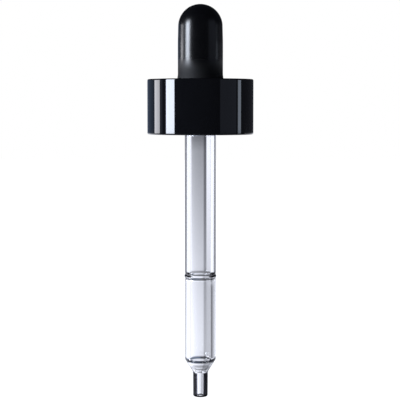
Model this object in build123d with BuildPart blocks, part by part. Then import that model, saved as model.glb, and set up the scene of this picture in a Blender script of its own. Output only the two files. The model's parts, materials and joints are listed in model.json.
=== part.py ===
from build123d import *

# Glass dropper closure for a 20 mm bottle neck: rubber bulb, two-piece screw collar, sealing washer and
# glass pipette. The origin is on the axis at the sealing plane, where the washer meets the bottle's rim.
# +Z points to the bulb and the pipette hangs below. Lengths are in millimetres.

import os
from math import cos, radians, sin, tan

# ---- driving dimensions ----

# levels above the sealing plane
WASHER_THICKNESS = 0.8
FLANGE_TOP = 1.75  # bulb flange
CAP_CEILING = 1.8  # underside of the inner cap's top
CAP_TOP = 2.7
COLLAR_TOP = 3.75
BULB_HEIGHT = 17.2  # above the collar
COLLAR_HEIGHT = 12.65
FACE_GAP = 0.05  # between faces that turn or slide on each other

# collar
COLLAR_RADIUS = 12.22
SHELL_WALL = 1.0
SHELL_EDGE = 0.3  # rounding of the shell's outer edges
MOUTH_RADIUS = 5.65  # hole that the bulb comes through
MOUTH_EDGE = 0.25
CAP_RECESS = 0.3  # inner cap's rim above the shell's rim
LAND_COUNT = 24
LAND_HEIGHT = 0.2  # drive lands on the inner cap, up to the shell's wall
LAND_GAP = 1.5
LAND_BOTTOM, LAND_TOP = -5.2, 2.3
SNAP_LEVEL = -6.6
SNAP_RADIUS = 0.35  # section of the ring that snaps the shell on
SNAP_HEIGHT = 0.3

# neck thread, 20-400 finish: 8 threads to the inch
THREAD_ROOT = 10.1
THREAD_CREST = 9.2
THREAD_PITCH = 3.175
THREAD_TURNS = 1.15
THREAD_TOP = -3.0  # centre of the ridge where it starts
RIDGE_BASE, RIDGE_CREST = 1.7, 0.8  # ridge widths along the axis
RIDGE_ROOT_DEPTH = 0.3  # how far the ridge is sunk in the wall
CAP_LEAD_IN = 0.4

# sealing washer
WASHER_RADIUS = 9.6
WASHER_EDGE = 0.12

# pipette
GLASS_RADIUS = 3.5
BORE_RADIUS = 2.5
GLASS_LENGTH = 76.0
TIP_DEPTH = 70.15  # sealing plane to the tip
RING_HEIGHT = 28.35  # ring's middle above the tip
RING_BEAD = 0.1  # bead proud of the tube
RING_GROOVE = 0.06
BORE_RIDGE = 0.1  # opposite each groove, where the rolling pressed the soft wall in
RING_PITCH = 0.5  # bead to each groove
SHOULDER_HEIGHT = 9.1  # where the shoulder starts, above the tip
SHOULDER_ANGLE = 32.0  # from the axis
SHOULDER_ROUND = 1.0
NECK_RADIUS, TIP_RADIUS = 1.76, 1.72
NECK_BORE, TIP_BORE = 1.0, 0.78
BORE_SHOULDER_DROP = 0.35  # the bore starts to narrow this much below the outside
TIP_EDGE = 0.35

# bulb
DOME_RADIUS = 5.1
BULB_RADIUS = 5.19
BODY_FLARE = 3.5  # fall from the dome's edge to the full radius
FOOT_RADIUS = 5.35
FOOT_HEIGHT = 1.5  # flared foot above the collar
BULB_WALL = 1.25
DOME_WALL = 1.5
GRIP_CLEARANCE = 0.05  # bulb and washer round the pipette
GRIP_TOP = 7.2
GRIP_CHAMFER = 0.4
FLANGE_RADIUS = 8.8
FLANGE_EDGE = 0.25

# ---- derived levels ----

COLLAR_BOTTOM = COLLAR_TOP - COLLAR_HEIGHT
CAP_BOTTOM = COLLAR_BOTTOM + CAP_RECESS
SHELL_INSIDE = COLLAR_RADIUS - SHELL_WALL
CAP_RADIUS = SHELL_INSIDE - LAND_HEIGHT
BULB_TOP = COLLAR_TOP + BULB_HEIGHT
GRIP_RADIUS = GLASS_RADIUS + GRIP_CLEARANCE
GLASS_TOP = GLASS_LENGTH - TIP_DEPTH

os.makedirs("parts", exist_ok=True)


def write(name, piece):
    """Labels a finished sub-part and writes its STEP file."""
    piece.part.label = name
    export_step(piece.part, f"parts/{name}.step")


def cone_turns(radius, level, end_radius, rounding, angle):
    """Points of a wall that turns from straight down to a cone, and back to straight down.

    Returns the middle and end of the first round, then the start, middle and end of the second.
    """
    full, half = radians(angle), radians(angle / 2)
    inward, fall = rounding * (1 - cos(full)), rounding * sin(full)
    half_inward, half_fall = rounding * (1 - cos(half)), rounding * sin(half)
    slope_fall = (radius - end_radius - 2 * inward) / tan(full)
    end_level = level - 2 * fall - slope_fall
    return (
        (radius - half_inward, level - half_fall),
        (radius - inward, level - fall),
        (end_radius + inward, end_level + fall),
        (end_radius + half_inward, end_level + half_fall),
        (end_radius, end_level),
    )


# ---- outer shell: smooth cover of the collar, open below ----

with BuildPart() as outer_shell:
    with BuildSketch(Plane.XZ):
        with BuildLine():
            Polyline(
                (MOUTH_RADIUS, CAP_TOP),
                (MOUTH_RADIUS, COLLAR_TOP),
                (COLLAR_RADIUS, COLLAR_TOP),
                (COLLAR_RADIUS, COLLAR_BOTTOM),
                (SHELL_INSIDE, COLLAR_BOTTOM),
                (SHELL_INSIDE, CAP_TOP),
                close=True,
            )
        make_face()
    revolve(axis=Axis.Z)
    rims = outer_shell.edges().filter_by(GeomType.CIRCLE)
    fillet(rims.filter_by(lambda rim: abs(rim.radius - COLLAR_RADIUS) < SHELL_EDGE), SHELL_EDGE)
    rims = outer_shell.edges().filter_by(GeomType.CIRCLE)
    fillet(rims.filter_by(lambda rim: rim.radius < CAP_RADIUS).sort_by(Axis.Z)[-1], MOUTH_EDGE)
    with BuildSketch(Plane.XZ):
        with Locations((SHELL_INSIDE, SNAP_LEVEL)):
            Circle(SNAP_RADIUS)
    revolve(axis=Axis.Z, mode=Mode.SUBTRACT)
write("outer_shell", outer_shell)


# ---- inner cap: threaded liner of the collar, with drive lands and a snap ring for the shell ----

with BuildPart() as inner_cap:
    with BuildSketch(Plane.XZ):
        with BuildLine():
            Polyline(
                (MOUTH_RADIUS, CAP_CEILING),
                (MOUTH_RADIUS, CAP_TOP),
                (CAP_RADIUS, CAP_TOP),
                (CAP_RADIUS, CAP_BOTTOM),
                (THREAD_ROOT + CAP_LEAD_IN, CAP_BOTTOM),
                (THREAD_ROOT, CAP_BOTTOM + CAP_LEAD_IN),
                (THREAD_ROOT, CAP_CEILING),
                close=True,
            )
        make_face()
    revolve(axis=Axis.Z)
    with BuildSketch(Plane.XY.offset(LAND_BOTTOM)):
        Circle(SHELL_INSIDE)
        Circle(CAP_RADIUS - LAND_HEIGHT, mode=Mode.SUBTRACT)
        with PolarLocations(SHELL_INSIDE, LAND_COUNT):
            Rectangle(2 * LAND_HEIGHT, LAND_GAP, mode=Mode.SUBTRACT)
    extrude(amount=LAND_TOP - LAND_BOTTOM)
    with BuildSketch(Plane.XZ):
        with Locations((CAP_RADIUS, SNAP_LEVEL)):
            Ellipse(LAND_HEIGHT + SNAP_HEIGHT, SNAP_HEIGHT)
    revolve(axis=Axis.Z)
    with BuildLine() as ridge_path:
        Helix(
            THREAD_PITCH,
            THREAD_PITCH * THREAD_TURNS,
            THREAD_ROOT,
            center=(0, 0, THREAD_TOP - THREAD_PITCH * THREAD_TURNS),
        )
    with BuildSketch(Plane(ridge_path.line @ 0, x_dir=(1, 0, 0), z_dir=ridge_path.line % 0)):
        with BuildLine():
            Polyline(
                (RIDGE_ROOT_DEPTH, -RIDGE_BASE / 2),
                (RIDGE_ROOT_DEPTH, RIDGE_BASE / 2),
                (0, RIDGE_BASE / 2),
                (THREAD_CREST - THREAD_ROOT, RIDGE_CREST / 2),
                (THREAD_CREST - THREAD_ROOT, -RIDGE_CREST / 2),
                (0, -RIDGE_BASE / 2),
                close=True,
            )
        make_face()
    sweep(path=ridge_path.line, is_frenet=True)
write("inner_cap", inner_cap)


# ---- sealing washer: soft ring that the pipette hangs through ----

with BuildPart() as sealing_washer:
    with BuildSketch():
        Circle(WASHER_RADIUS)
        Circle(GRIP_RADIUS, mode=Mode.SUBTRACT)
    extrude(amount=WASHER_THICKNESS)
    rims = sealing_washer.edges().filter_by(GeomType.CIRCLE)
    chamfer(rims.filter_by(lambda rim: rim.radius > GRIP_RADIUS), WASHER_EDGE)
write("sealing_washer", sealing_washer)


# ---- bulb: hollow rubber teat with a flange under the collar ----

FLANGE_BOTTOM = WASHER_THICKNESS + FACE_GAP
DOME_CENTRE = BULB_TOP - DOME_RADIUS
CAVITY_RADIUS = BULB_RADIUS - BULB_WALL
CAVITY_TOP = BULB_TOP - DOME_WALL
CAVITY_CENTRE = CAVITY_TOP - CAVITY_RADIUS
FOOT_TOP = COLLAR_TOP + FOOT_HEIGHT

with BuildPart() as bulb:
    with BuildSketch(Plane.XZ):
        with BuildLine():
            RadiusArc((0, BULB_TOP), (DOME_RADIUS, DOME_CENTRE), DOME_RADIUS)
            Line((DOME_RADIUS, DOME_CENTRE), (BULB_RADIUS, DOME_CENTRE - BODY_FLARE))
            Line((BULB_RADIUS, DOME_CENTRE - BODY_FLARE), (BULB_RADIUS, FOOT_TOP))
            TangentArc((BULB_RADIUS, FOOT_TOP), (FOOT_RADIUS, COLLAR_TOP), tangent=(0, -1))
            Polyline(
                (FOOT_RADIUS, COLLAR_TOP),
                (FOOT_RADIUS, FLANGE_TOP),
                (FLANGE_RADIUS - FLANGE_EDGE, FLANGE_TOP),
                (FLANGE_RADIUS, FLANGE_TOP - FLANGE_EDGE),
                (FLANGE_RADIUS, FLANGE_BOTTOM),
                (GRIP_RADIUS, FLANGE_BOTTOM),
                (GRIP_RADIUS, GRIP_TOP),
                (CAVITY_RADIUS, GRIP_TOP + GRIP_CHAMFER),
                (CAVITY_RADIUS, CAVITY_CENTRE),
            )
            RadiusArc((CAVITY_RADIUS, CAVITY_CENTRE), (0, CAVITY_TOP), -CAVITY_RADIUS)
            Line((0, CAVITY_TOP), (0, BULB_TOP))
        make_face()
    revolve(axis=Axis.Z)
write("bulb", bulb)


# ---- glass pipette: drawn tube with a rolled ring, a shoulder and a narrow tip ----

TIP_LEVEL = GLASS_TOP - GLASS_LENGTH
RING_LEVEL = TIP_LEVEL + RING_HEIGHT
RING_TOP = RING_LEVEL + 2 * RING_PITCH
RING_BOTTOM = RING_LEVEL - 2 * RING_PITCH
SHOULDER_LEVEL = TIP_LEVEL + SHOULDER_HEIGHT
RIM_ROUND = (GLASS_RADIUS - BORE_RADIUS) / 2
MID_WALL = GLASS_RADIUS - RIM_ROUND
outer_turns = cone_turns(GLASS_RADIUS, SHOULDER_LEVEL, NECK_RADIUS, SHOULDER_ROUND, SHOULDER_ANGLE)
bore_turns = cone_turns(
    BORE_RADIUS, SHOULDER_LEVEL - BORE_SHOULDER_DROP, NECK_BORE, SHOULDER_ROUND, SHOULDER_ANGLE
)


def ring_wave(radius, bead, groove):
    """Wall of the rolled ring from its upper edge down: groove, bead, groove."""
    return (
        (radius, RING_TOP),
        (radius - groove, RING_LEVEL + RING_PITCH),
        (radius + bead, RING_LEVEL),
        (radius - groove, RING_LEVEL - RING_PITCH),
        (radius, RING_BOTTOM),
    )


with BuildPart() as glass_pipette:
    with BuildSketch(Plane.XZ):
        with BuildLine():
            # outside, from the fire-polished rim down to the tip
            Line((GLASS_RADIUS, GLASS_TOP - RIM_ROUND), (GLASS_RADIUS, RING_TOP))
            Spline(*ring_wave(GLASS_RADIUS, RING_BEAD, RING_GROOVE), tangents=((0, -1), (0, -1)))
            Line((GLASS_RADIUS, RING_BOTTOM), (GLASS_RADIUS, SHOULDER_LEVEL))
            ThreePointArc((GLASS_RADIUS, SHOULDER_LEVEL), outer_turns[0], outer_turns[1])
            Line(outer_turns[1], outer_turns[2])
            ThreePointArc(outer_turns[2], outer_turns[3], outer_turns[4])
            Line(outer_turns[4], (TIP_RADIUS, TIP_LEVEL + TIP_EDGE))
            RadiusArc((TIP_RADIUS, TIP_LEVEL + TIP_EDGE), (TIP_RADIUS - TIP_EDGE, TIP_LEVEL), TIP_EDGE)
            Line((TIP_RADIUS - TIP_EDGE, TIP_LEVEL), (TIP_BORE + TIP_EDGE, TIP_LEVEL))
            # bore, from the tip back up to the rim
            RadiusArc((TIP_BORE + TIP_EDGE, TIP_LEVEL), (TIP_BORE, TIP_LEVEL + TIP_EDGE), TIP_EDGE)
            Line((TIP_BORE, TIP_LEVEL + TIP_EDGE), bore_turns[4])
            ThreePointArc(bore_turns[4], bore_turns[3], bore_turns[2])
            Line(bore_turns[2], bore_turns[1])
            ThreePointArc(bore_turns[1], bore_turns[0], (BORE_RADIUS, SHOULDER_LEVEL - BORE_SHOULDER_DROP))
            Line((BORE_RADIUS, SHOULDER_LEVEL - BORE_SHOULDER_DROP), (BORE_RADIUS, RING_BOTTOM))
            Spline(*reversed(ring_wave(BORE_RADIUS, 0, BORE_RIDGE)), tangents=((0, 1), (0, 1)))
            Line((BORE_RADIUS, RING_TOP), (BORE_RADIUS, GLASS_TOP - RIM_ROUND))
            ThreePointArc(
                (BORE_RADIUS, GLASS_TOP - RIM_ROUND),
                (MID_WALL, GLASS_TOP),
                (GLASS_RADIUS, GLASS_TOP - RIM_ROUND),
            )
        make_face()
    revolve(axis=Axis.Z)
write("glass_pipette", glass_pipette)
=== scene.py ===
import json
from math import atan2, cos, degrees, pi, radians, sin, tan

import bmesh
import bpy
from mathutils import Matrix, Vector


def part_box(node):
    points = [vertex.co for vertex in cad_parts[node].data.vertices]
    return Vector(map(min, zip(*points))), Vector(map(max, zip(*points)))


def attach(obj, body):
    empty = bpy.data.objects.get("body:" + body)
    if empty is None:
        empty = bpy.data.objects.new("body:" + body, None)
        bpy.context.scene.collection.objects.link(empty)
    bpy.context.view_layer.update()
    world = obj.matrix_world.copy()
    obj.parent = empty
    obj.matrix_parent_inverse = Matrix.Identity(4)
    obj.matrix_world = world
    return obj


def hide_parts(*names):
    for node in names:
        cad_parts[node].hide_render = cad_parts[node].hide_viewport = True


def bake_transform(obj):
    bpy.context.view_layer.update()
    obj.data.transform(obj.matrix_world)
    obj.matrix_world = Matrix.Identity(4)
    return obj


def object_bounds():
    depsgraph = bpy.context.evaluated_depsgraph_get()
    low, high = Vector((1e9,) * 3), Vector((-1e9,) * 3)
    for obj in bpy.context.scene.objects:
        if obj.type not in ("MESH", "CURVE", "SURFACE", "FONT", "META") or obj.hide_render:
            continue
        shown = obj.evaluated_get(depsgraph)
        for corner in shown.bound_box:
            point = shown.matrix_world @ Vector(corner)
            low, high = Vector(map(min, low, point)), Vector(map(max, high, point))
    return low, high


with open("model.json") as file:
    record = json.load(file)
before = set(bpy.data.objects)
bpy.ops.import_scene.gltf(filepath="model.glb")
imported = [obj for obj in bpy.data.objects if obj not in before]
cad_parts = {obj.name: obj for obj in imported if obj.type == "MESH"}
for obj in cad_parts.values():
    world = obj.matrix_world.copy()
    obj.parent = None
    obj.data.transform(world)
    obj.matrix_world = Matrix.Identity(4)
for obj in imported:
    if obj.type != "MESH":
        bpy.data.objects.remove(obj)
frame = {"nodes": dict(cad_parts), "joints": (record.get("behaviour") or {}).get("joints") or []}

# Dropper closure: rubber bulb, glossy two-piece collar, sealing washer and glass pipette.
# Outlines are in millimetres in the (radius, height) half plane, as in the CAD model.

MM = 0.001
SEGMENTS = 256  # round each turned piece
SAME_POINT = 1e-4  # points closer than this are one, in millimetres
ON_AXIS = 1e-6
SHARP_ANGLE = 30
cad_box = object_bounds()

scene = bpy.context.scene


# ---- the CAD model's levels, read from the frame ----


def level(node, end):
    """Lowest (0) or highest (1) height of a CAD node, in millimetres."""
    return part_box(node)[end].z / MM


def reach(node):
    """Radius of a CAD node, in millimetres."""
    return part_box(node)[1].x / MM


COLLAR_TOP = level("outer_shell", 1)
COLLAR_BOTTOM = level("outer_shell", 0)
COLLAR_RADIUS = reach("outer_shell")
BULB_TOP = level("bulb", 1)
FLANGE_BOTTOM = level("bulb", 0)
FLANGE_RADIUS = reach("bulb")
GLASS_TOP = level("glass_pipette", 1)
TIP_LEVEL = level("glass_pipette", 0)
GLASS_RADIUS = reach("glass_pipette")


# ---- outlines ----


def arc(centre, radius, start, end, steps=12):
    """Points of an arc, from one angle to the other, in degrees from outwards towards up."""
    turns = [radians(start + (end - start) * i / steps) for i in range(steps + 1)]
    return [(centre[0] + radius * cos(t), centre[1] + radius * sin(t)) for t in turns]


LARGEST_HOLD = 0.3  # share of a run


def run(start, end, hold=0.05, parts=1):
    """Points of a straight run, with one close to each end so that its shading stays straight."""
    length = ((end[0] - start[0]) ** 2 + (end[1] - start[1]) ** 2) ** 0.5
    near = min(hold / length, LARGEST_HOLD)
    shares = [0, near] + [i / parts for i in range(1, parts)] + [1 - near, 1]
    return [(start[0] + (end[0] - start[0]) * s, start[1] + (end[1] - start[1]) * s) for s in shares]


def swell(start, end, steps=10):
    """Points of a wall that passes from one radius to another and is upright at both ends."""
    points = []
    for i in range(steps + 1):
        share = i / steps
        eased = (1 - cos(pi * share)) / 2
        points.append((start[0] + (end[0] - start[0]) * eased, start[1] + (end[1] - start[1]) * share))
    return points


def cone_turn(radius, top, end_radius, rounding, angle):
    """Points of a wall that turns from upright to a cone and back to upright, going down."""
    inward = rounding * (1 - cos(radians(angle)))
    fall = rounding * sin(radians(angle))
    slope_fall = (radius - end_radius - 2 * inward) / tan(radians(angle))
    end_level = top - 2 * fall - slope_fall
    points = arc((radius - rounding, top), rounding, 0, -angle)
    points += run((radius - inward, top - fall), (end_radius + inward, end_level + fall))
    return points + arc((end_radius + rounding, end_level), rounding, 180 - angle, 180)


def apart(first, second):
    """How far apart two points are, as the sum of their steps out and up."""
    return abs(first[0] - second[0]) + abs(first[1] - second[1])


def without_repeats(points):
    """The same points, with each one that stands on its neighbour left out."""
    kept = [points[0]]
    for point in points[1:]:
        if apart(point, kept[-1]) > SAME_POINT:
            kept.append(point)
    return kept


def lathe(name, outline, closed):
    """Turns an outline about Z. A closed outline is a ring; an open one starts and ends on the axis."""
    points = without_repeats(outline)
    if closed and apart(points[0], points[-1]) < SAME_POINT:
        points.pop()
    mesh = bpy.data.meshes.new(name)
    shape = bmesh.new()
    rings = []
    for radius, height in points:
        if radius < ON_AXIS:
            rings.append([shape.verts.new((0, 0, height * MM))] * SEGMENTS)
            continue
        ring = []
        for i in range(SEGMENTS):
            turn = 2 * pi * i / SEGMENTS
            spot = (radius * cos(turn) * MM, radius * sin(turn) * MM, height * MM)
            ring.append(shape.verts.new(spot))
        rings.append(ring)
    pairs = list(zip(rings, rings[1:]))
    if closed:
        pairs.append((rings[-1], rings[0]))
    for upper, lower in pairs:
        for i in range(SEGMENTS):
            j = (i + 1) % SEGMENTS
            corners = []
            for vertex in (upper[i], lower[i], lower[j], upper[j]):
                if vertex not in corners:
                    corners.append(vertex)
            shape.faces.new(corners)
    bmesh.ops.recalc_face_normals(shape, faces=shape.faces)
    shape.to_mesh(mesh)
    shape.free()
    mesh.shade_smooth()
    mesh.set_sharp_from_angle(angle=radians(SHARP_ANGLE))
    piece = bpy.data.objects.new(name, mesh)
    scene.collection.objects.link(piece)
    return piece


# ---- materials: noise scales are in cells per metre, bump distances in metres ----


def node(tree, kind, inputs=None, **settings):
    """Adds a node. Settings are its properties; inputs give a value or an output for each socket."""
    made = tree.nodes.new(kind)
    for name, value in settings.items():
        setattr(made, name, value)
    for socket, value in (inputs or {}).items():
        if isinstance(value, bpy.types.NodeSocket):
            tree.links.new(value, made.inputs[socket])
        else:
            made.inputs[socket].default_value = value
    return made


def number(tree, operation, *values):
    """Adds a Math node and returns its output."""
    return node(tree, "ShaderNodeMath", dict(enumerate(values)), operation=operation).outputs[0]


def times(tree, *values):
    """Multiplies several numbers and returns the result."""
    total = values[0]
    for value in values[1:]:
        total = number(tree, "MULTIPLY", total, value)
    return total


def between(tree, value, low, high, to_low=0.0, to_high=1.0, kind="LINEAR"):
    """Maps a value from one range to another, clamped, and returns the output."""
    sockets = {0: value, 1: low, 2: high, 3: to_low, 4: to_high}
    return node(tree, "ShaderNodeMapRange", sockets, interpolation_type=kind).outputs[0]


def new_material(name, **sockets):
    """Makes a material with a Principled shader and returns the material, its tree and the shader."""
    material = bpy.data.materials.new(name)
    material.use_nodes = True
    tree = material.node_tree
    shader = tree.nodes["Principled BSDF"]
    for socket, value in sockets.items():
        shader.inputs[socket.replace("_", " ")].default_value = value
    return material, tree, shader


def place(tree, scale=(1, 1, 1)):
    """The object's own coordinates, in metres times the scale."""
    coordinates = node(tree, "ShaderNodeTexCoord").outputs["Object"]
    return node(tree, "ShaderNodeMapping", {"Vector": coordinates, "Scale": scale}).outputs[0]


def noise(tree, vector, scale, detail=3.0, roughness=0.5):
    """Adds a Noise texture and returns its value."""
    sockets = {"Vector": vector, "Scale": scale, "Detail": detail, "Roughness": roughness}
    return node(tree, "ShaderNodeTexNoise", sockets).outputs["Fac"]


def bump(tree, height, distance, strength=1.0):
    """Adds a Bump node and returns its normal."""
    sockets = {"Height": height, "Distance": distance, "Strength": strength}
    return node(tree, "ShaderNodeBump", sockets).outputs[0]


def mixed(tree, share, first, second):
    """Mixes two colours and returns the result."""
    made = node(tree, "ShaderNodeMix", data_type="RGBA")
    for socket, value in ((0, share), (6, first), (7, second)):
        if isinstance(value, bpy.types.NodeSocket):
            tree.links.new(value, made.inputs[socket])
        else:
            made.inputs[socket].default_value = value
    return made.outputs[2]


def gloss_plastic():
    """Polished black plastic with a faint moulding ripple, a little duller in patches and specks."""
    material, tree, shader = new_material("gloss_black_plastic", IOR=1.5)
    where = place(tree)
    wide = noise(tree, where, scale=160.0)
    specks = noise(tree, where, scale=2600.0, detail=2.0)
    colour = mixed(tree, wide, (0.0028, 0.0031, 0.0042, 1), (0.0040, 0.0043, 0.0056, 1))
    tree.links.new(colour, shader.inputs["Base Color"])
    handled = between(tree, wide, 0.45, 0.7, to_low=0.03, to_high=0.055)
    speckled = between(tree, specks, 0.66, 0.74, to_low=0.0, to_high=0.05)
    tree.links.new(number(tree, "ADD", handled, speckled), shader.inputs["Roughness"])
    stretched = place(tree, scale=(1, 1, 0.35))
    ripple = noise(tree, stretched, scale=210.0, detail=1.0)
    tree.links.new(bump(tree, ripple, distance=0.000004), shader.inputs["Normal"])
    return material


SATIN_FROM, SATIN_TO = 1.2, 5.2  # above the collar, in millimetres
DULL, SATIN = 0.7, 0.24  # roughness of the foot and of the rest


def rubber():
    """Black rubber, dull at the foot and satin above, with fine grain."""
    material, tree, shader = new_material("satin_black_rubber", IOR=1.5)
    where = place(tree)
    height = node(tree, "ShaderNodeSeparateXYZ", {0: where}).outputs["Z"]
    blotch = noise(tree, where, scale=420.0, detail=4.0)
    colour = mixed(tree, blotch, (0.0016, 0.0017, 0.0024, 1), (0.0028, 0.0029, 0.0038, 1))
    tree.links.new(colour, shader.inputs["Base Color"])
    fade_low, fade_high = (COLLAR_TOP + SATIN_FROM) * MM, (COLLAR_TOP + SATIN_TO) * MM
    satin = between(tree, height, fade_low, fade_high, DULL, SATIN, "SMOOTHSTEP")
    uneven = between(tree, blotch, 0.3, 0.7, to_low=-0.015, to_high=0.015)
    tree.links.new(number(tree, "ADD", satin, uneven), shader.inputs["Roughness"])
    grain = noise(tree, where, scale=9000.0, detail=2.0)
    tree.links.new(bump(tree, grain, distance=0.000003, strength=0.4), shader.inputs["Normal"])
    return material


# the second colour is painted shade: dark glass that stands in for the shade seen at the glass's edges and
# grooves
CLEAR, PAINTED_SHADE_COLOUR = (1, 1, 1, 1), (0.004, 0.004, 0.006, 1)


def part_of_glass(tree, radius, height, inside, low, high):
    """Share of the glass from a radius out and between two heights above the tip."""
    outer = between(tree, radius, inside * MM, (inside + LINE_SOFT) * MM)
    rise = between(tree, height, low * MM, (low + LINE_SOFT) * MM)
    fall = between(tree, height, high * MM, (high - LINE_SOFT) * MM)
    return times(tree, outer, rise, fall)


def clear_glass():
    """Glass with painted shade: its colour darkens where its wall turns edge-on, and dark lines are painted
    at the rolled ring's grooves, at the top of the neck and at the tip.
    """
    material, tree, shader = new_material("clear_glass", IOR=1.5, Roughness=0.0, Transmission_Weight=1.0)
    axes = node(tree, "ShaderNodeSeparateXYZ", {0: place(tree)}).outputs
    flat = node(tree, "ShaderNodeCombineXYZ", {0: axes["X"], 1: axes["Y"]}).outputs[0]
    radius = node(tree, "ShaderNodeVectorMath", {0: flat}, operation="LENGTH").outputs["Value"]
    height = number(tree, "SUBTRACT", axes["Z"], TIP_LEVEL * MM)
    facing = node(tree, "ShaderNodeLayerWeight", {"Blend": 0.5}).outputs["Facing"]
    # painted shade: the glass colour darkens towards grazing and along set heights
    painted_shade = 0.0
    for inside, low, high, start, full in PAINTED_EDGE_SHADE:
        edge = between(tree, facing, start, full, kind="SMOOTHSTEP")
        share = times(tree, part_of_glass(tree, radius, height, inside, low, high), edge)
        painted_shade = number(tree, "MAXIMUM", painted_shade, share)
    for inside, low, high, strength in PAINTED_LINE_SHADE:
        share = times(tree, part_of_glass(tree, radius, height, inside, low, high), strength)
        painted_shade = number(tree, "MAXIMUM", painted_shade, share)
    tree.links.new(mixed(tree, painted_shade, CLEAR, PAINTED_SHADE_COLOUR), shader.inputs["Base Color"])
    stretched = place(tree, scale=(1, 1, 0.012))
    drawn = noise(tree, stretched, scale=900.0, detail=2.0)
    tree.links.new(bump(tree, drawn, distance=0.0000015), shader.inputs["Normal"])
    return material


def liner_plastic():
    """Matt black polypropylene, as moulded."""
    material, tree, shader = new_material("black_polypropylene", IOR=1.49)
    where = place(tree)
    cloud = noise(tree, where, scale=300.0)
    colour = mixed(tree, cloud, (0.018, 0.018, 0.02, 1), (0.032, 0.032, 0.034, 1))
    tree.links.new(colour, shader.inputs["Base Color"])
    rough = between(tree, cloud, 0.3, 0.7, to_low=0.36, to_high=0.5)
    tree.links.new(rough, shader.inputs["Roughness"])
    grain = noise(tree, where, scale=7000.0)
    tree.links.new(bump(tree, grain, distance=0.000008, strength=0.6), shader.inputs["Normal"])
    return material


def washer_foam():
    """White foam with fine cells."""
    material, tree, shader = new_material("white_polyethylene_foam", IOR=1.5)
    where = place(tree)
    cells = node(tree, "ShaderNodeTexVoronoi", {"Vector": where, "Scale": 5200.0}).outputs["Distance"]
    cloud = noise(tree, where, scale=500.0)
    colour = mixed(tree, cloud, (0.80, 0.80, 0.77, 1), (0.88, 0.88, 0.86, 1))
    tree.links.new(colour, shader.inputs["Base Color"])
    rough = between(tree, cloud, 0.3, 0.7, to_low=0.55, to_high=0.7)
    tree.links.new(rough, shader.inputs["Roughness"])
    tree.links.new(bump(tree, cells, distance=0.00001, strength=0.6), shader.inputs["Normal"])
    return material


def dress(piece, material):
    """Gives a piece one material."""
    piece.data.materials.clear()
    piece.data.materials.append(material)


# ---- outer shell ----

SHELL_WALL, SHELL_EDGE = 1.0, 0.3
MOUTH_RADIUS, MOUTH_EDGE = 5.65, 0.25
CAP_TOP = level("inner_cap", 1)
SNAP_LEVEL, SNAP_RADIUS = -6.6, 0.35


def shell_outline():
    inside = COLLAR_RADIUS - SHELL_WALL
    edge = COLLAR_RADIUS - SHELL_EDGE
    points = run((MOUTH_RADIUS, CAP_TOP), (MOUTH_RADIUS, COLLAR_TOP - MOUTH_EDGE))
    points += arc((MOUTH_RADIUS + MOUTH_EDGE, COLLAR_TOP - MOUTH_EDGE), MOUTH_EDGE, 180, 90)
    points += run((MOUTH_RADIUS + MOUTH_EDGE, COLLAR_TOP), (edge, COLLAR_TOP), parts=4)
    points += arc((edge, COLLAR_TOP - SHELL_EDGE), SHELL_EDGE, 90, 0)
    wall_top, wall_bottom = COLLAR_TOP - SHELL_EDGE, COLLAR_BOTTOM + SHELL_EDGE
    points += run((COLLAR_RADIUS, wall_top), (COLLAR_RADIUS, wall_bottom), parts=6)
    points += arc((edge, COLLAR_BOTTOM + SHELL_EDGE), SHELL_EDGE, 0, -90)
    points += run((edge, COLLAR_BOTTOM), (inside, COLLAR_BOTTOM))
    points += run((inside, COLLAR_BOTTOM), (inside, SNAP_LEVEL - SNAP_RADIUS))
    points += arc((inside, SNAP_LEVEL), SNAP_RADIUS, -90, 90)
    points += run((inside, SNAP_LEVEL + SNAP_RADIUS), (inside, CAP_TOP))
    return points + run((inside, CAP_TOP), (MOUTH_RADIUS, CAP_TOP))


outer_shell = lathe("collar_shell", shell_outline(), closed=True)
dress(outer_shell, gloss_plastic())
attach(outer_shell, "collar")
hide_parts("outer_shell")


# ---- bulb ----

DOME_RADIUS, BULB_RADIUS = 5.1, 5.19
BODY_FLARE = 3.5
FOOT_RADIUS, FOOT_HEIGHT = 5.35, 1.5
BULB_WALL, DOME_WALL = 1.25, 1.5
FLANGE_THICKNESS, FLANGE_EDGE = 0.9, 0.25
GRIP_RADIUS, GRIP_TOP, GRIP_CHAMFER = GLASS_RADIUS + 0.05, 7.2, 0.4
STRAIGHT_HOLD = 0.8


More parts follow.
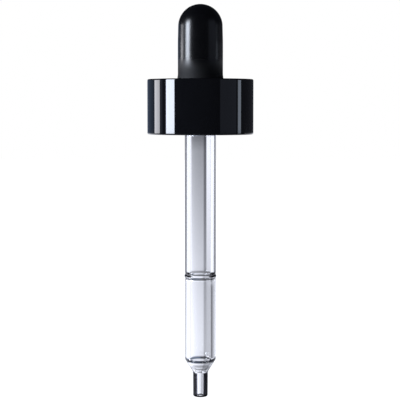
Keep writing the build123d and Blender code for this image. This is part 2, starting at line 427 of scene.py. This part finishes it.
def bulb_outline():
    dome_centre = BULB_TOP - DOME_RADIUS
    foot_top = COLLAR_TOP + FOOT_HEIGHT
    flare = FOOT_RADIUS - BULB_RADIUS
    flare_radius = (flare**2 + FOOT_HEIGHT**2) / (2 * flare)
    flare_turn = degrees(atan2(FOOT_HEIGHT, flare_radius - flare))
    flange_top = FLANGE_BOTTOM + FLANGE_THICKNESS
    cavity_radius = BULB_RADIUS - BULB_WALL
    cavity_centre = BULB_TOP - DOME_WALL - cavity_radius
    rim = FLANGE_RADIUS - FLANGE_EDGE
    points = arc((0, dome_centre), DOME_RADIUS, 90, 0, steps=48)
    points += run((DOME_RADIUS, dome_centre), (BULB_RADIUS, dome_centre - BODY_FLARE), hold=STRAIGHT_HOLD)
    points += run((BULB_RADIUS, dome_centre - BODY_FLARE), (BULB_RADIUS, foot_top), hold=STRAIGHT_HOLD)
    points += arc((BULB_RADIUS + flare_radius, foot_top), flare_radius, 180, 180 + flare_turn)
    points += run((FOOT_RADIUS, COLLAR_TOP), (FOOT_RADIUS, flange_top))
    points += run((FOOT_RADIUS, flange_top), (rim, flange_top))
    points += run((rim, flange_top), (FLANGE_RADIUS, flange_top - FLANGE_EDGE))
    points += run((FLANGE_RADIUS, flange_top - FLANGE_EDGE), (FLANGE_RADIUS, FLANGE_BOTTOM))
    points += run((FLANGE_RADIUS, FLANGE_BOTTOM), (GRIP_RADIUS, FLANGE_BOTTOM))
    points += run((GRIP_RADIUS, FLANGE_BOTTOM), (GRIP_RADIUS, GRIP_TOP), parts=6)
    points += run((GRIP_RADIUS, GRIP_TOP), (cavity_radius, GRIP_TOP + GRIP_CHAMFER))
    points += run((cavity_radius, GRIP_TOP + GRIP_CHAMFER), (cavity_radius, cavity_centre), parts=8)
    return points + arc((0, cavity_centre), cavity_radius, 0, 90, steps=24)


bulb = lathe("rubber_bulb", bulb_outline(), closed=False)
dress(bulb, rubber())
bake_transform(bulb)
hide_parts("bulb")


# ---- glass pipette ----

BORE_RADIUS = 2.5
RING_HEIGHT, RING_PITCH = 28.35, 0.5
RING_BEAD, RING_GROOVE, BORE_RIDGE = 0.1, 0.06, 0.1
SHOULDER_HEIGHT, SHOULDER_ANGLE, SHOULDER_ROUND = 9.1, 32.0, 1.0
NECK_RADIUS, TIP_RADIUS = 1.76, 1.72
NECK_BORE, TIP_BORE = 1.0, 0.78
BORE_DROP = 0.35
TIP_EDGE = 0.35
NECK_HEIGHT = 5.7  # straight part, above the tip
UPPER_GROOVE, LOWER_GROOVE = RING_HEIGHT + RING_PITCH, RING_HEIGHT - RING_PITCH
TUBE_OUTSIDE, NECK_OUTSIDE = BORE_RADIUS + 0.3, NECK_BORE + 0.25  # from here out, past the bore
ABOVE_GLASS = 90.0
LINE_SOFT = 0.08
# painted shade at the glass's edges: radius from which, heights between which, and facing between which the
# glass is painted dark
PAINTED_EDGE_SHADE = (
    (TUBE_OUTSIDE, UPPER_GROOVE, ABOVE_GLASS, 0.45, 0.59),
    (NECK_OUTSIDE, 0.2, NECK_HEIGHT, 0.06, 0.14),
)
# painted shade lines: radius from which and heights between which the glass is painted darker, and share of
# full dark
PAINTED_LINE_SHADE = (
    (TUBE_OUTSIDE, UPPER_GROOVE - 0.2, UPPER_GROOVE + 0.25, 0.9),
    (TUBE_OUTSIDE, LOWER_GROOVE - 0.15, LOWER_GROOVE + 0.1, 0.75),
    (NECK_OUTSIDE, NECK_HEIGHT + 0.8, NECK_HEIGHT + 1.3, 0.6),
    (0.0, -0.1, 0.3, 1.0),
)


def ring_wave(radius, bead, groove):
    """The rolled ring's wall, going down: groove, bead, groove."""
    middle = TIP_LEVEL + RING_HEIGHT
    levels = [middle + RING_PITCH * step for step in (2, 1, 0, -1, -2)]
    radii = [radius, radius - groove, radius + bead, radius - groove, radius]
    points = []
    for i in range(4):
        points += swell((radii[i], levels[i]), (radii[i + 1], levels[i + 1]))
    return points


def glass_outline():
    wall_round = (GLASS_RADIUS - BORE_RADIUS) / 2
    rim_centre = (GLASS_RADIUS - wall_round, GLASS_TOP - wall_round)
    ring_top = TIP_LEVEL + RING_HEIGHT + 2 * RING_PITCH
    ring_bottom = TIP_LEVEL + RING_HEIGHT - 2 * RING_PITCH
    shoulder = TIP_LEVEL + SHOULDER_HEIGHT
    tip_top = TIP_LEVEL + TIP_EDGE
    outside = run((GLASS_RADIUS, rim_centre[1]), (GLASS_RADIUS, ring_top), parts=12)
    outside += ring_wave(GLASS_RADIUS, RING_BEAD, RING_GROOVE)
    outside += run((GLASS_RADIUS, ring_bottom), (GLASS_RADIUS, shoulder), parts=6)
    outside += cone_turn(GLASS_RADIUS, shoulder, NECK_RADIUS, SHOULDER_ROUND, SHOULDER_ANGLE)
    outside += run(outside[-1], (TIP_RADIUS, tip_top), parts=4)
    outside += arc((TIP_RADIUS - TIP_EDGE, tip_top), TIP_EDGE, 0, -90)
    bore = run((BORE_RADIUS, rim_centre[1]), (BORE_RADIUS, ring_top), parts=12)
    bore += ring_wave(BORE_RADIUS, 0, BORE_RIDGE)
    bore += run((BORE_RADIUS, ring_bottom), (BORE_RADIUS, shoulder - BORE_DROP), parts=6)
    bore += cone_turn(BORE_RADIUS, shoulder - BORE_DROP, NECK_BORE, SHOULDER_ROUND, SHOULDER_ANGLE)
    bore += run(bore[-1], (TIP_BORE, tip_top), parts=4)
    bore += arc((TIP_BORE + TIP_EDGE, tip_top), TIP_EDGE, 180, 270)
    return outside + bore[::-1] + arc(rim_centre, wall_round, 180, 0, steps=20)


glass = lathe("glass_tube", glass_outline(), closed=True)
dress(glass, clear_glass())
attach(glass, "pipette")
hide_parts("glass_pipette")


# ---- hidden pieces, carried over from the CAD model ----

dress(frame["nodes"]["inner_cap"], liner_plastic())
dress(frame["nodes"]["sealing_washer"], washer_foam())


# ---- studio: directions are azimuth from the camera's side towards +X, and elevation, in degrees ----

HORIZON, HORIZON_SOFT = -1.26, 0.05

# azimuth range, elevation range, softness of the sides and of the top, radiance
LIGHTS = {
    "key_strip": ((-79.3, -57.8), (HORIZON, 20.0), 1.5, 24.0, (20.0, 21.5, 24.5)),
    "second_strip": ((-117.5, -98.5), (HORIZON, 5.0), 1.5, 7.0, (6.9, 6.9, 7.4)),
    "left_gap_glow": ((-98.5, -90.0), (HORIZON, 9.0), 1.0, 10.0, (0.20, 0.23, 0.30)),
    "left_wall": ((-180.0, -120.0), (HORIZON, 7.0), 3.0, 6.0, (0.10, 0.14, 0.22)),
    "right_fill": ((43.0, 84.0), (HORIZON, 25.0), 2.0, 20.0, (0.17, 0.19, 0.25)),
    "right_strip": ((88.5, 98.0), (HORIZON, 2.2), 1.5, 2.0, (2.2, 2.5, 3.0)),
    "right_wall": ((100.0, 180.0), (HORIZON, 7.0), 3.0, 6.0, (0.02, 0.02, 0.024)),
}
AMBIENT = (0.024, 0.026, 0.034)


def world_angles(tree):
    """Azimuth and elevation of the direction that the world is seen in, in degrees."""
    seen = node(tree, "ShaderNodeTexCoord").outputs["Generated"]
    axes = node(tree, "ShaderNodeSeparateXYZ", {0: seen}).outputs
    turn = number(tree, "ARCTAN2", axes["X"], number(tree, "MULTIPLY", axes["Y"], -1.0))
    azimuth = number(tree, "DEGREES", turn)
    elevation = number(tree, "DEGREES", number(tree, "ARCSINE", axes["Z"]))
    return azimuth, elevation


def window(tree, azimuth, elevation, sides, heights, side_soft, top_soft):
    """Share of a panel of light that is seen: one inside its ranges, falling to nothing at its edges."""
    centre = (sides[0] + sides[1]) / 2
    half = (sides[1] - sides[0]) / 2
    turned = number(tree, "SUBTRACT", azimuth, centre)
    away = number(tree, "ABSOLUTE", number(tree, "WRAP", turned, 180.0, -180.0))
    across = between(tree, away, half + side_soft / 2, half - side_soft / 2, kind="SMOOTHSTEP")
    low, high = heights
    above = between(tree, elevation, low - HORIZON_SOFT, low + HORIZON_SOFT)
    below = between(tree, elevation, high + top_soft / 2, high - top_soft / 2, kind="SMOOTHSTEP")
    return times(tree, across, above, below)


def tinted(tree, colour, share):
    """A colour times a number, as a vector."""
    scaled = {0: colour, "Scale": share}
    return node(tree, "ShaderNodeVectorMath", scaled, operation="SCALE").outputs[0]


def added(tree, first, second):
    """The sum of two colours, as a vector."""
    return node(tree, "ShaderNodeVectorMath", {0: first, 1: second}, operation="ADD").outputs[0]


# pale sweep below the horizon: depths are degrees below the horizontal, sides are degrees from behind
# SWEEP is pairs of depth and share of full brightness
SWEEP = ((1.4, 0.20), (1.95, 0.37), (4.1, 0.53), (6.8, 0.74), (8.5, 0.87), (10.2, 0.97), (16.0, 1.0))
SWEEP_TINT = (0.955, 0.985, 1.10)
SWEEP_SIDES, SWEEP_SLOPE = (-22.0, 3.5), (1.38, 0.80)  # brighter towards the left
SLIT = (3.2, 5.0)  # dark slit beside the right card
SLIT_DEPTHS, SLIT_LIGHT = (4.0, 10.2), (0.32, 0.56)
LEFT_CARD, RIGHT_CARD = (-18.0, -25.0), (7.8, 10.0)  # where each card begins
CARD_END = (66.0, 72.0)
CARD_LIGHT = 1.1
HIGH_SIDES, HIGH_DEPTHS, HIGH_DIMMING = (36.0, 30.0), (2.0, 7.2), 0.36  # upper part of the right card
LOW_FROM = (7.3, 7.9)  # the right card is greyer from this depth on
LOW_SIDES, LOW_LIGHT = (33.0, 50.0), (0.46, 0.16)
FRONT_LIGHT, FRONT_SEEN_THROUGH = 0.06, 0.8  # in reflections, and through glass


def right_card_light(tree, behind, depth):
    """Light of the right card: greyer towards the middle and low down."""
    near = between(tree, behind, *HIGH_SIDES)
    dimming = between(tree, depth, *HIGH_DEPTHS, 0.0, HIGH_DIMMING)
    high = number(tree, "SUBTRACT", 1.0, times(tree, near, dimming))
    low = between(tree, behind, *LOW_SIDES, *LOW_LIGHT)
    share = between(tree, depth, *LOW_FROM)
    rest = number(tree, "SUBTRACT", 1.0, share)
    blended = number(tree, "ADD", times(tree, low, share), times(tree, high, rest))
    return times(tree, blended, CARD_LIGHT)


def sweep_light(tree, azimuth, elevation):
    """The pale sweep that the glass is seen against: grey straight behind, white cards at each side."""
    depth = times(tree, elevation, -1.0)
    turned = number(tree, "SUBTRACT", 180.0, azimuth)
    behind = number(tree, "WRAP", turned, 180.0, -180.0)
    away = number(tree, "ABSOLUTE", behind)
    grey = SWEEP[0][1]
    for (low, first), (high, last) in zip(SWEEP, SWEEP[1:]):
        grey = number(tree, "ADD", between(tree, depth, low, high, 0.0, last - first), grey)
    slope = between(tree, behind, *SWEEP_SIDES, *SWEEP_SLOPE)
    slit_light = between(tree, depth, *SLIT_DEPTHS, *SLIT_LIGHT)
    slit = between(tree, behind, *SLIT, 1.0, slit_light, "SMOOTHSTEP")
    through = node(tree, "ShaderNodeLightPath").outputs["Is Transmission Ray"]
    front_light = between(tree, through, 0.0, 1.0, FRONT_LIGHT, FRONT_SEEN_THROUGH)
    front = between(tree, away, *CARD_END, 1.0, front_light, "SMOOTHSTEP")
    grey = times(tree, grey, slope, slit, front)
    beside = between(tree, away, CARD_END[1], CARD_END[0], kind="SMOOTHSTEP")
    left_card = times(tree, between(tree, behind, *LEFT_CARD, kind="SMOOTHSTEP"), beside)
    right_card = times(tree, between(tree, behind, *RIGHT_CARD, kind="SMOOTHSTEP"), beside)
    bare = number(tree, "SUBTRACT", number(tree, "SUBTRACT", 1.0, left_card), right_card)
    light = number(tree, "ADD", times(tree, grey, bare), times(tree, left_card, CARD_LIGHT))
    right_light = times(tree, right_card, right_card_light(tree, behind, depth))
    light = number(tree, "ADD", light, right_light)
    under = between(tree, elevation, HORIZON + HORIZON_SOFT, HORIZON - HORIZON_SOFT)
    return tinted(tree, SWEEP_TINT, times(tree, light, under))


def studio_world():
    """White where the camera sees past the object, and the studio in its reflections and through glass."""
    world = bpy.data.worlds.new("studio")
    world.use_nodes = True
    tree = world.node_tree
    tree.nodes.clear()
    azimuth, elevation = world_angles(tree)
    total = sweep_light(tree, azimuth, elevation)
    for sides, heights, side_soft, top_soft, radiance in LIGHTS.values():
        seen = window(tree, azimuth, elevation, sides, heights, side_soft, top_soft)
        total = added(tree, total, tinted(tree, radiance, seen))
    total = added(tree, total, AMBIENT)
    studio = node(tree, "ShaderNodeBackground", {"Color": total, "Strength": 1.0}).outputs[0]
    plain = node(tree, "ShaderNodeBackground", {"Color": (1, 1, 1, 1), "Strength": 1.0}).outputs[0]
    direct = node(tree, "ShaderNodeLightPath").outputs["Is Camera Ray"]
    shown = node(tree, "ShaderNodeMixShader", {0: direct, 1: studio, 2: plain}).outputs[0]
    node(tree, "ShaderNodeOutputWorld", {"Surface": shown})
    scene.world = world


studio_world()


# ---- floor ----

FLOOR_SIDE = 3.0
FLOOR_CLEARANCE = 0.0002  # under the tip of the pulled pipette
FLOOR_GLOW = 0.95


def pale_floor():
    mesh = bpy.data.meshes.new("floor")
    half = FLOOR_SIDE / 2
    pull = next(joint for joint in frame["joints"] if joint["name"] == "pipette_pull")
    height = cad_box[0].z - pull["range_m"][1] - FLOOR_CLEARANCE
    corners = [(x * half, y * half, height) for x, y in ((-1, -1), (1, -1), (1, 1), (-1, 1))]
    mesh.from_pydata(corners, [], [(0, 1, 2, 3)])
    floor = bpy.data.objects.new("floor", mesh)
    scene.collection.objects.link(floor)
    material, tree, shader = new_material("pale_floor", Roughness=1.0, Specular_IOR_Level=0.0)
    grain = noise(tree, place(tree), scale=40.0)
    colour = mixed(tree, grain, (0.80, 0.80, 0.80, 1), (0.84, 0.84, 0.84, 1))
    tree.links.new(colour, shader.inputs["Base Color"])
    shader.inputs["Emission Color"].default_value = (1, 1, 1, 1)
    shader.inputs["Emission Strength"].default_value = FLOOR_GLOW
    dress(floor, material)
    floor.visible_glossy = False
    floor.visible_transmission = False


pale_floor()


# ---- camera: eye level at the collar's middle, turned down to take in the whole length ----

EYE_DISTANCE = 0.3006
FOCAL_LENGTH, SENSOR_WIDTH = 117.0, 36.0
NEAREST, FURTHEST = 0.01, 20.0
TILT = 4.10
SIDE_STEP = -0.00009


def photo_camera():
    data = bpy.data.cameras.new("camera")
    data.lens = FOCAL_LENGTH
    data.sensor_width = SENSOR_WIDTH
    data.clip_start = NEAREST
    data.clip_end = FURTHEST
    camera = bpy.data.objects.new("camera", data)
    scene.collection.objects.link(camera)
    eye = (COLLAR_TOP + COLLAR_BOTTOM) / 2 * MM
    camera.location = (SIDE_STEP, -EYE_DISTANCE, eye)
    camera.rotation_euler = (radians(90 - TILT), 0, 0)
    scene.camera = camera


photo_camera()
scene.view_settings.view_transform = "Standard"
